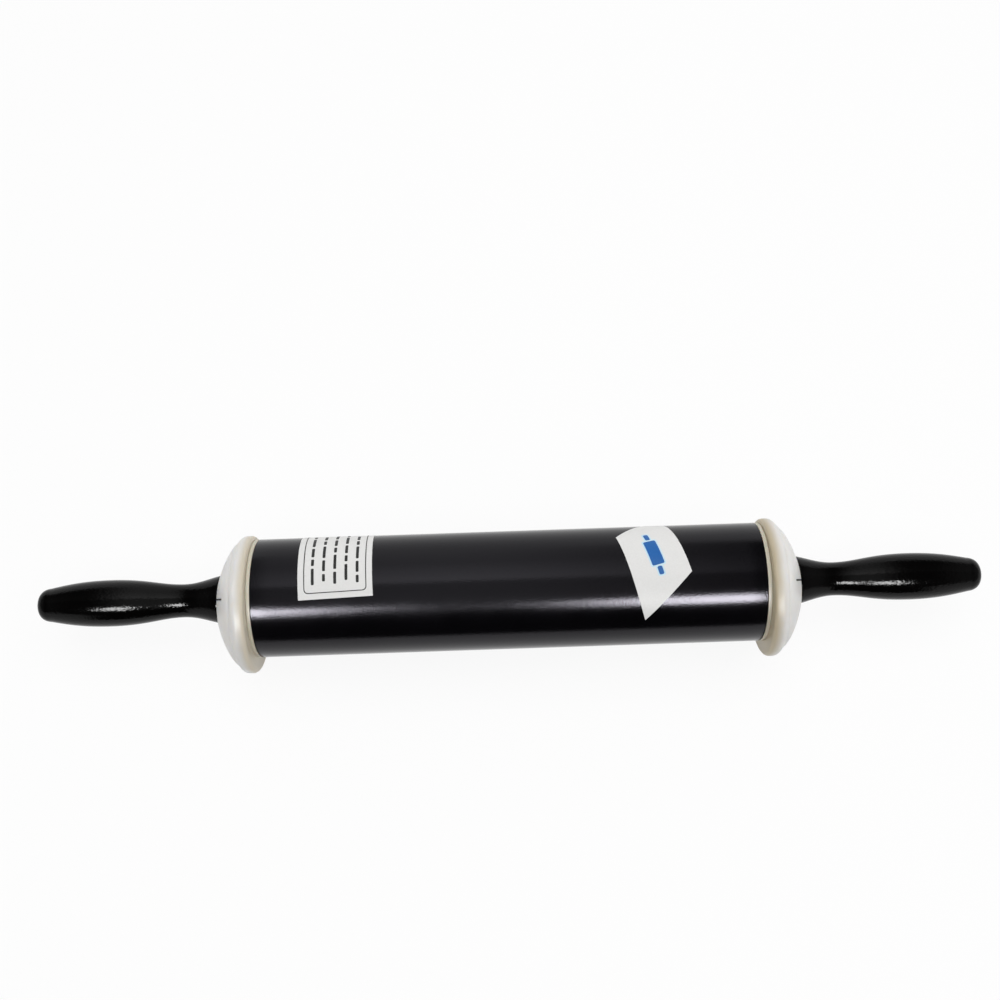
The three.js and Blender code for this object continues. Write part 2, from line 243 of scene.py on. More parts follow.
print("curve of five points:", len(bend((0, 0), (0, 1), (1, 1), (1, 0), 4)))

# %% [markdown]
# ## Flat solids and cuts
#
# Ribs, the spring's pocket and the labels start as flat outlines with a thickness. Cuts and joins
# are boolean steps, applied at once, because they lie inside the caps and plugs where no highlight
# shows how the faces are split. The solver splits a few of a cap's faces differently from run to run,
# so its face count can change a little while its volume doesn't.

# %% Slabs, joins and cuts
SAME_PLACE = 1e-7


def slab(name, faces, low, high):
    """A flat solid: its faces lie across the first axis, and it is drawn out from low to high."""
    shape = bmesh.new()
    for outline in faces:
        shape.faces.new([shape.verts.new((low, u, v)) for u, v in outline])
    bmesh.ops.remove_doubles(shape, verts=shape.verts, dist=SAME_PLACE)
    drawn = bmesh.ops.extrude_face_region(shape, geom=shape.faces[:])
    moved = [part for part in drawn["geom"] if isinstance(part, bmesh.types.BMVert)]
    bmesh.ops.translate(shape, verts=moved, vec=(high - low, 0, 0))
    return new_piece(name, shape)


def carve(piece, operation, cutter):
    """Unites a piece with a second solid, cuts that away or keeps what both share."""
    step = piece.modifiers.new(operation.lower(), "BOOLEAN")
    step.operation = operation
    step.object = cutter
    step.solver = "EXACT"
    made = piece.evaluated_get(bpy.context.evaluated_depsgraph_get())
    piece.data = bpy.data.meshes.new_from_object(made)
    piece.modifiers.clear()
    bpy.data.objects.remove(cutter)
    return piece


def ribs(name, count, thickness, inner, outer, low, high):
    """Walls that stand round the axle like spokes, as one mesh."""
    half = thickness / 2
    wall = ((inner, -half), (outer, -half), (outer, half), (inner, half))
    faces = []
    for k in range(count):
        turn = Matrix.Rotation(2 * math.pi * k / count, 2)
        faces.append([tuple(turn @ Vector(point)) for point in wall])
    return slab(name, faces, low, high)


END_PLACES = {
    "left": Matrix.Translation(axis - Vector((tube_end, 0, 0))) @ Matrix.Rotation(math.pi, 4, "Z"),
    "right": Matrix.Translation(axis + Vector((tube_end, 0, 0))) @ Matrix.Rotation(math.pi, 4, "X"),
}
SHARP = math.radians(32)


def dress(piece, body, finish):
    """Smooths a finished piece, gives it its finish and lets it ride on its body."""
    piece.data.shade_smooth()
    piece.data.set_sharp_from_angle(angle=SHARP)
    piece.data.materials.clear()
    piece.data.materials.append(finish)
    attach(piece, body)
    return piece


def at_both_ends(piece, finish, node, body=None):
    """Copies an end piece to both ends, where it replaces the CAD node. It rides on its end's cap if
    no body is named."""
    for end, place in END_PLACES.items():
        copy = bpy.data.objects.new(f"{end}_{piece.name}", piece.data.copy())
        bpy.context.scene.collection.objects.link(copy)
        copy.data.transform(place)
        dress(copy, body or f"{end}_cap", finish)
        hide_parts(f"{end}_{node}")
        print(copy.name, "faces:", len(copy.data.polygons))
    bpy.data.objects.remove(piece)


for end, place in END_PLACES.items():
    print(end, "end at", [round(value / MM, 2) for value in place.translation], "mm")

# %% [markdown]
# ## Starting a finish
#
# Every finish is one Principled shader. Colours are written as sRGB hex values, as a colour picker
# gives them, and turned to linear light by one function. What is the same all over goes straight on
# the shader's sockets, and only what varies comes through nodes. Patterns are drawn in the piece's
# own coordinates, so they turn with it, and their scales come from sizes in millimetres.

# %% Colour, nodes and scales
def linear(colour):
    """A hex sRGB colour as the linear values that shaders take."""
    channels = [int(colour[i:i + 2], 16) / 255 for i in (1, 3, 5)]
    return [c / 12.92 if c <= 0.04045 else ((c + 0.055) / 1.055) ** 2.4 for c in channels] + [1]


def add(tree, kind, values=None, links=None, **settings):
    """Adds a node with its settings, the values of its sockets and the links into them."""
    node = tree.nodes.new(kind)
    for name, value in settings.items():
        setattr(node, name, value)
    for socket, value in (values or {}).items():
        node.inputs[socket].default_value = value
    for socket, source in (links or {}).items():
        tree.links.new(source, node.inputs[socket])
    return node


def start_finish(name, values):
    """A material with one Principled shader, and the piece's own coordinates to draw patterns in."""
    material = bpy.data.materials.new(name)
    material.use_nodes = True
    tree = material.node_tree
    tree.nodes.clear()
    shader = add(tree, "ShaderNodeBsdfPrincipled", values)
    add(tree, "ShaderNodeOutputMaterial", links={"Surface": shader.outputs["BSDF"]})
    own = add(tree, "ShaderNodeTexCoord").outputs["Object"]
    return material, tree, shader, own


def per_metre(x, y=None, z=None):
    """How often a pattern with features of these sizes repeats in a metre, along each axis."""
    return [1 / size for size in (x, y or x, z or y or x)]


print("mid grey in linear light:", round(linear("#808080")[0], 3))

# %% [markdown]
# ## Barrel coating
#
# The roller is a drawn aluminium tube, ground smooth, sprayed with a black non-stick resin and baked.
# A plain black gloss would look like plastic. The real one is satin: the resin is nearly black with a
# breath of violet, and the ground metal under it shows as a fine grain, a little longer round the
# barrel than along it. That grain breaks the ends of a highlight into glints.

# %% Baked non-stick coating
# The real grain is finer, and is drawn this coarse so that it shows
GRIND_PITCH = 0.75 * MM
GRIND_LENGTH = 1.1 * MM
GRIND_DEPTH = 0.055 * MM
RESIN_CLOUD = 26 * MM
# Where most of a noise's values lie
NOISE_LOW = 0.3
NOISE_HIGH = 0.7

# A sprayed and baked resin: dark, satin, and slightly uneven where it flowed out. It is a
# fluoropolymer, which mirrors less than most plastics, so its IOR is low.
coating, tree, shader, own = start_finish(
    "baked_nonstick_coating",
    {"IOR": 1.4, "Specular IOR Level": 0.35, "Specular Tint": linear("#f6f3ff")},
)
grind_place = add(
    tree, "ShaderNodeMapping",
    {"Scale": per_metre(GRIND_PITCH, GRIND_LENGTH)}, {"Vector": own},
)
grind = add(
    tree, "ShaderNodeTexNoise",
    {"Scale": 1, "Detail": 2, "Roughness": 0.6}, {"Vector": grind_place.outputs["Vector"]},
)
cloud = add(
    tree, "ShaderNodeTexNoise",
    {"Scale": 1 / RESIN_CLOUD, "Detail": 3, "Roughness": 0.55}, {"Vector": own},
)
grind_bump = add(
    tree, "ShaderNodeBump",
    {"Strength": 1, "Distance": GRIND_DEPTH}, {"Height": grind.outputs["Fac"]},
)
tree.links.new(grind_bump.outputs["Normal"], shader.inputs["Normal"])
tint = add(
    tree, "ShaderNodeMix", {"A": linear("#030304"), "B": linear("#060508")},
    {"Factor": cloud.outputs["Fac"]}, data_type="RGBA",
)
tree.links.new(tint.outputs["Result"], shader.inputs["Base Color"])
satin = add(
    tree, "ShaderNodeMapRange",
    {"From Min": NOISE_LOW, "From Max": NOISE_HIGH, "To Min": 0.13, "To Max": 0.17},
    {"Value": cloud.outputs["Fac"]},
)
tree.links.new(satin.outputs["Result"], shader.inputs["Roughness"])
print("coating nodes:", len(tree.nodes))

# %% [markdown]
# ## Barrel
#
# The barrel is a plain tube, so its skin is a ring skin from a rounded rectangle. The ends are
# deburred: a small radius there gives the thin light line that a sharp edge would lose.

# %% Barrel
TUBE_WALL = 2 * MM
DEBURR = 0.35 * MM
BARREL_SEGMENTS = 240
BARREL_STEP = 9 * MM

bore = barrel_radius - TUBE_WALL
section = ((-tube_end, bore), (-tube_end, barrel_radius), (tube_end, barrel_radius), (tube_end, bore))
outline = spaced(rounded(section, [DEBURR] * 4), BARREL_STEP)
barrel = ring_skin("coated_barrel", [(x, radius, 0) for x, radius in outline], BARREL_SEGMENTS)
barrel.data.transform(Matrix.Translation(axis))
dress(barrel, "barrel", coating)
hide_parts("barrel_tube")
print("barrel faces:", len(barrel.data.polygons))

# %% [markdown]
# ## Moulded nylon
#
# The end plugs and thrust washers are moulded from natural nylon: milky, a little duller and yellower
# than the caps. A flat white would look like paint, so the colour drifts slightly, as the melt does.

# %% Moulded nylon
MELT_DRIFT = 9 * MM
MELT_DEPTH = 1.5 * MM
MOULD_GRAIN = 0.7 * MM
MOULD_GRAIN_DEPTH = 0.01 * MM

# An injection moulding: half matt from the tool's spark-eroded face
nylon, tree, shader, own = start_finish(
    "moulded_nylon",
    {"IOR": 1.53, "Roughness": 0.42, "Subsurface Weight": 0.15, "Subsurface Scale": MELT_DEPTH},
)
drift = add(tree, "ShaderNodeTexNoise", {"Scale": 1 / MELT_DRIFT, "Detail": 2}, {"Vector": own})
milky = add(
    tree, "ShaderNodeMix", {"A": linear("#cec8b8"), "B": linear("#c2bba8")},
    {"Factor": drift.outputs["Fac"]}, data_type="RGBA",
)
tree.links.new(milky.outputs["Result"], shader.inputs["Base Color"])
grain = add(tree, "ShaderNodeTexNoise", {"Scale": 1 / MOULD_GRAIN, "Detail": 1}, {"Vector": own})
grain_bump = add(
    tree, "ShaderNodeBump",
    {"Strength": 0.6, "Distance": MOULD_GRAIN_DEPTH}, {"Height": grain.outputs["Fac"]},
)
tree.links.new(grain_bump.outputs["Normal"], shader.inputs["Normal"])
print("nylon nodes:", len(tree.nodes))

# %% [markdown]
# ## End plugs
#
# A plug closes each end of the tube and holds the bearing bush in its hub. Only the rim of its flange
# shows, as a thin pale ring beside the black coating. A low lip round it closes most of the gap to the
# cap and keeps flour out. The whole moulding is made all the same: flange, skirt, hub and ribs.

# %% End plugs
SEAT_GAP = 0.1 * MM
PLUG_WALL = 2.4 * MM
PLUG_PLATE = 2.6 * MM
PLUG_BORE = 7.2 * MM
PLUG_HUB = 10.2 * MM
PLUG_RIBS = 6
PLUG_RIB = 2 * MM
LIP_WIDTH = 1.2 * MM
LIP_HEIGHT = 0.25 * MM
MOULD_ROUND = 0.45 * MM
FLANGE_ROUND = 0.15 * MM
END_SEGMENTS = 192

skirt = bore - SEAT_GAP
plate_back = plug_face - PLUG_PLATE
section = (
    (plug_back, skirt),
    (SEAT_GAP, skirt),
    (SEAT_GAP, barrel_radius),
    (plug_face + LIP_HEIGHT, barrel_radius),
    (plug_face + LIP_HEIGHT, barrel_radius - LIP_WIDTH),
    (plug_face, barrel_radius - LIP_WIDTH),
    (plug_face, PLUG_BORE),
    (plug_back, PLUG_BORE),
    (plug_back, PLUG_HUB),
    (plate_back, PLUG_HUB),
    (plate_back, skirt - PLUG_WALL),
    (plug_back, skirt - PLUG_WALL),
)
outline = rounded(section, [MOULD_ROUND, 0, *[FLANGE_ROUND] * 2, 0, 0, *[MOULD_ROUND] * 6])
plug = ring_skin("plug", [(x, radius, 0) for x, radius in outline], END_SEGMENTS)
plug_ribs = ribs(
    "plug_ribs", PLUG_RIBS, PLUG_RIB,
    inner=(PLUG_BORE + PLUG_HUB) / 2,
    outer=skirt - PLUG_WALL / 2,
    low=plug_back + PLUG_WALL,
    high=plug_face - MOULD_ROUND,
)
carve(plug, "UNION", plug_ribs)
at_both_ends(plug, nylon, "end_plug", body="barrel")

# %% [markdown]
# ## Pearly plastic
#
# The caps are moulded from a white plastic with a pearly depth. Light enters it, spreads and comes out
# warmer, so its shaded side goes beige and never grey. A plain white diffuse would look like chalk.
# Subsurface scattering gives the depth, a satin surface the soft glints, and a slow drift of colour the
# melt. Along the rim beside the barrel the colour turns beige. That is painted shade where the rim faces
# the barrel, and it is wider and darker on the right cap, whose rim gets less light.

# %% Pearly moulded plastic
PEARL_DRIFT = 22 * MM
PEARL_DEPTH = 3 * MM
TOOL_MARK = 1.6 * MM
TOOL_MARK_DEPTH = 0.015 * MM
PAINTED_SHADE_START = 0.6 * MM
LEFT_PAINTED_SHADE_END = 5 * MM
RIGHT_PAINTED_SHADE_END = 6.6 * MM

# An injection moulding: satin, with the faint waviness of shrunk plastic
pearl, tree, shader, own = start_finish(
    "pearly_moulded_plastic",
    {
        "IOR": 1.49,
        "Subsurface Weight": 0.3,
        "Subsurface Radius": (1, 0.78, 0.55),
        "Subsurface Scale": PEARL_DEPTH,
    },
)
drift = add(
    tree, "ShaderNodeTexNoise",
    {"Scale": 1 / PEARL_DRIFT, "Detail": 3, "Distortion": 1.2}, {"Vector": own},
)
melt = add(
    tree, "ShaderNodeMix", {"A": linear("#eae9e8"), "B": linear("#e1dfda")},
    {"Factor": drift.outputs["Fac"]}, data_type="RGBA",
)
# Painted shade: the rim beside the barrel is coloured beige, wider on the right cap
along = add(tree, "ShaderNodeSeparateXYZ", links={"Vector": own})
from_middle = add(tree, "ShaderNodeMath", links={0: along.outputs["X"]}, operation="ABSOLUTE")
rim_place = tube_end + cap_start
at_right = add(tree, "ShaderNodeMath", {1: 0}, {0: along.outputs["X"]}, operation="GREATER_THAN")
painted_shade_end = add(
    tree, "ShaderNodeMix", {"A": rim_place + LEFT_PAINTED_SHADE_END, "B": rim_place + RIGHT_PAINTED_SHADE_END},
    {"Factor": at_right.outputs["Value"]}, data_type="FLOAT",
)
painted_shade = add(
    tree, "ShaderNodeMapRange", {"From Min": rim_place + PAINTED_SHADE_START, "To Min": 1, "To Max": 0},
    {"Value": from_middle.outputs["Value"], "From Max": painted_shade_end.outputs["Result"]},
    interpolation_type="SMOOTHSTEP",
)
# The right cap's painted shade is darker, as less light reaches its rim
painted_shade_colour = add(
    tree, "ShaderNodeMix", {"A": linear("#d2c9b6"), "B": linear("#bfb297")},
    {"Factor": at_right.outputs["Value"]}, data_type="RGBA",
)
painted_shade_mix = add(
    tree, "ShaderNodeMix",
    links={
        "Factor": painted_shade.outputs["Result"],
        "A": melt.outputs["Result"],
        "B": painted_shade_colour.outputs["Result"],
    },
    data_type="RGBA",
)
tree.links.new(painted_shade_mix.outputs["Result"], shader.inputs["Base Color"])
gloss = add(
    tree, "ShaderNodeMapRange",
    {"From Min": NOISE_LOW, "From Max": NOISE_HIGH, "To Min": 0.36, "To Max": 0.44},
    {"Value": drift.outputs["Fac"]},
)
tree.links.new(gloss.outputs["Result"], shader.inputs["Roughness"])
waves = add(tree, "ShaderNodeTexNoise", {"Scale": 1 / TOOL_MARK, "Detail": 1}, {"Vector": own})
wave_bump = add(
    tree, "ShaderNodeBump",
    {"Strength": 0.5, "Distance": TOOL_MARK_DEPTH}, {"Height": waves.outputs["Fac"]},
)
tree.links.new(wave_bump.outputs["Normal"], shader.inputs["Normal"])
print("pearl nodes:", len(tree.nodes))

# %% [markdown]
# ## Outside of a cap
#
# From the barrel outward a cap has a rounded rim, a shallow valley, a dome and a flat collar round the
# handle. Its outline is drawn once, as an arc, two turns and one long bend, in stations from the cap's
# inner face and radii from the cap's own centre.

# %% Cap outline
RIM_ROUND = 2.4 * MM
RIM_FLAT = 1.6 * MM
RIM_SHOULDER = 4.2 * MM
FLAT_DEPTH = 0.4 * MM
VALLEY_DROP = 3.3 * MM
COLLAR_RADIUS = 16 * MM
COLLAR_ROUND = 1.6 * MM
COLLAR_DROP = 0.6 * MM
SHOULDER_LEAN = 0.62
DOME_LEAVE = (0.22, 0.04)
DOME_ARRIVE = (0.61, 0.38)
RIM_STEPS = 10
SHOULDER_STEPS = 14
DOME_STEPS = 30
COLLAR_STEPS = 8

cap_depth = cap_end - cap_start
crest = rest_radius + FLAT_DEPTH
crest_end = RIM_ROUND + RIM_FLAT
valley = (crest_end + RIM_SHOULDER, crest - VALLEY_DROP)
dome_end = (cap_depth - COLLAR_DROP, COLLAR_RADIUS + COLLAR_ROUND)
run = dome_end[0] - valley[0]
fall = valley[1] - dome_end[1]


def on_dome(shares):
    """A point over the dome, as shares of its run along the axle and its fall towards it."""
    return valley[0] + shares[0] * run, valley[1] - shares[1] * fall


rim_turns = [math.pi / 2 * k / RIM_STEPS for k in range(RIM_STEPS + 1)]
rim = [(RIM_ROUND * (1 - math.cos(t)), crest - RIM_ROUND * (1 - math.sin(t))) for t in rim_turns]
shoulder_peak = (crest_end + SHOULDER_LEAN * RIM_SHOULDER, crest)
shoulder = corner((crest_end, crest), shoulder_peak, valley, SHOULDER_STEPS)
dome = bend(valley, on_dome(DOME_LEAVE), on_dome(DOME_ARRIVE), dome_end, DOME_STEPS)
collar_peak = (cap_depth, COLLAR_RADIUS)
collar_end = (cap_depth, COLLAR_RADIUS - COLLAR_ROUND)
collar = corner(dome_end, collar_peak, collar_end, COLLAR_STEPS)
cap_outside = [*rim, *shoulder, *dome[1:], *collar[1:]]
print("cap outline points:", len(cap_outside))

# %% [markdown]
# ## Inside of a cap
#
# The cap is hollow. A hub runs on the axle, ribs carry the dome, and a pocket in the end face takes
# the index spring: a half-turn track with a straight stop, and three dimples that the spring clicks
# into. The hub's rings are centred on the axle and the shell's rings on the cap, and that is all that
# makes the cap eccentric.

# %% Caps
CAP_WALL = 2.6 * MM
MOUTH_RADIUS = 27 * MM
CAP_BORE = 4.9 * MM
CAP_HUB = 9.5 * MM
HUB_INSET = 3.15 * MM
CAP_RIBS = 8
CAP_RIB = 1.8 * MM
RIB_INSET = 5.5 * MM
RUN_GAP = 0.15 * MM
FLOOR_WALL = 2 * MM
TRACK_RADIUS = 11.7 * MM
TRACK_STOP = 2.65 * MM
HUB_ROOM = 7.9 * MM
DIMPLE_RADIUS = 1.2 * MM
DIMPLE_PITCH = 9.4 * MM
TRACK_STEPS = 24
HUB_STEPS = 64

pocket_floor = stations("index_spring")[0] - RUN_GAP - cap_start
hollow_end = pocket_floor - FLOOR_WALL


def dome_inside(wall):
    """The dome's outline set in by a wall, as far as the hollow's end and no wider than its mouth."""
    widest = MOUTH_RADIUS + CAP_WALL - wall
    inside = []
    for before, here, after in zip(dome, dome[1:], dome[2:]):
        along = (Vector(after) - Vector(before)).normalized()
        station, radius = here[0] + wall * along.y, here[1] - wall * along.x
        if radius < widest and station < hollow_end:
            inside.append((station, radius))
    last = (hollow_end, inside[-1][1] - (hollow_end - inside[-1][0]))
    return [(0, widest), (inside[0][0], widest), *inside, last]


hollow = dome_inside(CAP_WALL)
cap_rings = [(x, radius, eccentricity) for x, radius in cap_outside]
hub = ((cap_depth, CAP_BORE), (HUB_INSET, CAP_BORE), (HUB_INSET, CAP_HUB), (hollow_end, CAP_HUB))
cap_rings += [(x, radius, 0) for x, radius in hub]
cap_rings += [(x, radius, eccentricity) for x, radius in reversed(hollow)]
cap = ring_skin("cap", cap_rings, END_SEGMENTS, flat=rest_radius)

rib_room = dome_inside(CAP_WALL / 2)
rib_root = hollow_end + FLOOR_WALL / 2
rib_room.append((rib_root, rib_room[-1][1]))
room_rings = [(x, radius, eccentricity) for x, radius in rib_room]
room_rings = [(0, 0, 0), *room_rings, (rib_root, 0, 0)]
cap_ribs = ribs(
    "cap_ribs", CAP_RIBS, CAP_RIB,
    inner=(CAP_BORE + CAP_HUB) / 2, outer=crest + eccentricity, low=RIB_INSET, high=cap_depth,
)
carve(cap_ribs, "INTERSECT", ring_skin("rib_room", room_rings, END_SEGMENTS))
carve(cap, "UNION", cap_ribs)

half_track = math.acos(-TRACK_STOP / TRACK_RADIUS)
sweep = [half_track * (k / TRACK_STEPS - 1) for k in range(2 * TRACK_STEPS + 1)]
track = [(TRACK_RADIUS * math.cos(turn), TRACK_RADIUS * math.sin(turn)) for turn in sweep]
turns = [2 * math.pi * k / HUB_STEPS for k in range(HUB_STEPS)]
hub_room = [(HUB_ROOM * math.cos(turn), HUB_ROOM * math.sin(turn)) for turn in turns]
carve(cap, "DIFFERENCE", slab("track", [track], pocket_floor, cap_depth + MM))
carve(cap, "DIFFERENCE", slab("hub_room", [hub_room], pocket_floor, cap_depth + MM))
for quarter in (-1, 0, 1):
    dimple = bmesh.new()
    bmesh.ops.create_uvsphere(dimple, u_segments=24, v_segments=12, radius=DIMPLE_RADIUS)
    turn = quarter * math.pi / 2
    where = (pocket_floor, DIMPLE_PITCH * math.cos(turn), DIMPLE_PITCH * math.sin(turn))
    bmesh.ops.translate(dimple, verts=dimple.verts, vec=where)
    carve(cap, "DIFFERENCE", new_piece("dimple", dimple))

cap.data.transform(Matrix.Translation((cap_start, 0, 0)))
at_both_ends(cap, pearl, "thickness_cap")

# %% [markdown]
# ## Index marks
#
# Short black lines on each cap's dome, beside the handle, show which thickness is set. They are
# printed, so they are almost without thickness: thin strips that follow the cap's own outline. There
# is one to a quarter turn, as there are flats, and the top one leans towards the cook.

# %% Printed black ink
INK_SPECK = 0.5 * MM


def printed_ink(name, thick, thin, roughness):
    """Printed ink in one colour, a little paler where it lies thin."""
    material, tree, shader, own = start_finish(name, {"IOR": 1.45, "Roughness": roughness})
    speck = add(tree, "ShaderNodeTexNoise", {"Scale": 1 / INK_SPECK, "Detail": 2}, {"Vector": own})
    colour = add(
        tree, "ShaderNodeMix", {"A": linear(thick), "B": linear(thin)},
        {"Factor": speck.outputs["Fac"]}, data_type="RGBA",
    )
    tree.links.new(colour.outputs["Result"], shader.inputs["Base Color"])
    return material


# Pad-printed: nearly black and dull
ink = printed_ink("printed_black_ink", "#151515", "#2a2928", 0.5)
print("ink nodes:", len(ink.node_tree.nodes))

# %% Index marks
MARK_WIDTH = 0.9 * MM
MARK_INNER = 16.4 * MM
MARK_OUTER = 29 * MM
MARK_LIFT = 0.05 * MM
MARK_LEAN = math.radians(13)

mark_line = [point for point in cap_outside if MARK_INNER < point[1] < MARK_OUTER]
mark_section = [(x, y) for x in (-MARK_LIFT, MARK_LIFT) for y in (-MARK_WIDTH / 2, MARK_WIDTH / 2)]
for end, handed in (("left", 1), ("right", -1)):
    marks = bmesh.new()
    for quarter in range(4):
        angle = handed * ((quarter + 1) * math.pi / 2 - MARK_LEAN)
        turn = Matrix.Rotation(angle, 3, "X")
        rows = []
        for station, radius in mark_line:
            # How far the ring round the cap's centre lies from the axle in this direction
            ring = math.sqrt(radius ** 2 - (eccentricity * math.sin(angle)) ** 2)
            reach = eccentricity * math.cos(angle) + ring
            lifted = [(cap_start + station + lift, reach + lift, side) for lift, side in mark_section]
            rows.append([marks.verts.new(turn @ Vector(point)) for point in lifted])
        for near, far in zip(rows, rows[1:]):
            for i, j in ((0, 1), (1, 3), (3, 2), (2, 0)):
                marks.faces.new((near[i], near[j], far[j], far[i]))
        for last in (rows[0], rows[-1]):
            marks.faces.new([last[i] for i in (0, 1, 3, 2)])
    printed = new_piece(f"{end}_index_marks", marks)
    printed.data.transform(END_PLACES[end])
    dress(printed, f"{end}_cap", ink)
    print(printed.name, "faces:", len(printed.data.polygons))

# %% [markdown]
# ## Lacquered wood
#
# The handles are turned hardwood under black gloss lacquer. Lacquer on wood is never a mirror: the
# pores and the grain sink it in long shallow furrows, and drying leaves a soft orange peel, so a lamp's
# reflection breaks into lumps. The bump has both, with the furrows drawn out along the grain.

# %% Black lacquer on turned wood
PORE_WIDTH = 0.8 * MM
PORE_LENGTH = 4.5 * MM
PEEL = 1.2 * MM
FURROW_DEPTH = 0.08 * MM
PORE_SHARE = 0.6

# A dipped and baked lacquer: black, glossy, with the wood telegraphing through
lacquer, tree, shader, own = start_finish(
    "black_lacquer_on_turned_wood", {"IOR": 1.5, "Specular IOR Level": 0.13},
)
pore_place = add(
    tree, "ShaderNodeMapping", {"Scale": per_metre(PORE_LENGTH, PORE_WIDTH)}, {"Vector": own},
)
pores = add(
    tree, "ShaderNodeTexNoise", {"Scale": 1, "Detail": 3}, {"Vector": pore_place.outputs["Vector"]},
)
peel = add(tree, "ShaderNodeTexNoise", {"Scale": 1 / PEEL, "Detail": 1}, {"Vector": own})
relief = add(
    tree, "ShaderNodeMath", {1: PORE_SHARE}, {0: pores.outputs["Fac"], 2: peel.outputs["Fac"]},
    operation="MULTIPLY_ADD",
)
furrows = add(
    tree, "ShaderNodeBump",
    {"Strength": 1, "Distance": FURROW_DEPTH}, {"Height": relief.outputs["Value"]},
)
tree.links.new(furrows.outputs["Normal"], shader.inputs["Normal"])
stain = add(
    tree, "ShaderNodeMix", {"A": linear("#020202"), "B": linear("#050404")},
    {"Factor": pores.outputs["Fac"]}, data_type="RGBA",
)
tree.links.new(stain.outputs["Result"], shader.inputs["Base Color"])
sheen = add(
    tree, "ShaderNodeMapRange",
    {"From Min": NOISE_LOW, "From Max": NOISE_HIGH, "To Min": 0.08, "To Max": 0.13},
    {"Value": peel.outputs["Fac"]},
)
tree.links.new(sheen.outputs["Result"], shader.inputs["Roughness"])
print("lacquer nodes:", len(tree.nodes))

# %% [markdown]
# ## Handles
#
# A handle is turned in one piece: a flared base against the cap, a narrow waist for the fingers, a
# swelling grip and a blunt tip. Four bends in a row give that outline, and each leaves where the last
# one arrives. The bore from the base takes the lock nut, the brass insert and the end of the axle.

# %% Handles
GRIP_ROUND = 1 * MM
NECK_RADIUS = 8.95 * MM
NECK_FROM_BASE = 21 * MM
BELLY_RADIUS = 12.55 * MM
BELLY_FROM_TIP = 39 * MM
TIP_RADIUS = 9.1 * MM
TIP_LENGTH = 7 * MM
NUT_ROOM = 8.1 * MM
PILOT_RADIUS = 4.2 * MM
BORE_RUNOUT = 3 * MM
INSERT_FLANGE = 1.4 * MM
INSERT_RADIUS = 5.8 * MM
GRIP_SEGMENTS = 128
BASE_STEPS = 6
NECK_STEPS = 18
BELLY_STEPS = 24
TIP_STEPS = 22
# How the bends lean, as shares of the run along the handle and of the change of radius
FLARE_LEAVE = (0.3, 0.28)
NECK_ARRIVE = 0.6
NECK_LEAVE = 0.32
BELLY_ARRIVE = 0.5
BELLY_LEAVE = 0.39
TIP_ARRIVE = (0.66, 0.33)
TIP_LEAVE = (0.75, 0.95)
TIP_FLAT = 0.63

grip_length = grip_end - grip_start
belly = grip_length - BELLY_FROM_TIP
tip = grip_length - TIP_LENGTH
flare = NECK_FROM_BASE - GRIP_ROUND
swell = belly - NECK_FROM_BASE
taper = tip - belly
base_turn = corner((0, grip_base - GRIP_ROUND), (0, grip_base), (GRIP_ROUND, grip_base), BASE_STEPS)
to_neck = bend(
    (GRIP_ROUND, grip_base),
    (GRIP_ROUND + FLARE_LEAVE[0] * flare, grip_base - FLARE_LEAVE[1] * (grip_base - NECK_RADIUS)),
    (GRIP_ROUND + NECK_ARRIVE * flare, NECK_RADIUS),
    (NECK_FROM_BASE, NECK_RADIUS),
    NECK_STEPS,
)
to_belly = bend(
    (NECK_FROM_BASE, NECK_RADIUS),
    (NECK_FROM_BASE + NECK_LEAVE * swell, NECK_RADIUS),
    (belly - BELLY_ARRIVE * swell, BELLY_RADIUS),
    (belly, BELLY_RADIUS),
    BELLY_STEPS,
)
to_tip = bend(
    (belly, BELLY_RADIUS),
    (belly + BELLY_LEAVE * taper, BELLY_RADIUS),
    (belly + TIP_ARRIVE[0] * taper, BELLY_RADIUS - TIP_ARRIVE[1] * (BELLY_RADIUS - TIP_RADIUS)),
    (tip, TIP_RADIUS),
    TIP_STEPS,
)
blunt_end = bend(
    (tip, TIP_RADIUS),
    (tip + TIP_LEAVE[0] * TIP_LENGTH, TIP_LEAVE[1] * TIP_RADIUS),
    (grip_length, TIP_FLAT * TIP_RADIUS),
    (grip_length, 0),
    TIP_STEPS,
)
insert_start, insert_end = (station - grip_start for station in stations("threaded_insert"))
axle_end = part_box("axle_rod")[1].x - tube_end - grip_start
bore_steps = [
    (axle_end + BORE_RUNOUT, 0),
    (axle_end + BORE_RUNOUT, PILOT_RADIUS),
    (insert_end + SEAT_GAP, PILOT_RADIUS),
    (insert_end + SEAT_GAP, INSERT_RADIUS + SEAT_GAP),
    (insert_start + INSERT_FLANGE + SEAT_GAP, INSERT_RADIUS + SEAT_GAP),
    (insert_start + INSERT_FLANGE + SEAT_GAP, NUT_ROOM),
    (0, NUT_ROOM),
]
grip_outline = [*bore_steps, *base_turn, *to_neck[1:], *to_belly[1:], *to_tip[1:], *blunt_end[1:]]
grip_rings = [(grip_start + x, max(radius, 0), 0) for x, radius in grip_outline]
grip = ring_skin("grip", grip_rings, GRIP_SEGMENTS)
at_both_ends(grip, lacquer, "handle", body="handles")

# %% [markdown]
# ## Label vinyl and inks
#
# Two labels are stuck on the barrel. They are white vinyl with a soft sheen. Their print is generic:
# plain dashes in a border on one, and a small picture of a pin on the other.

# %% Label vinyl and coloured inks
VINYL_GRAIN = 0.9 * MM
VINYL_GRAIN_DEPTH = 0.01 * MM

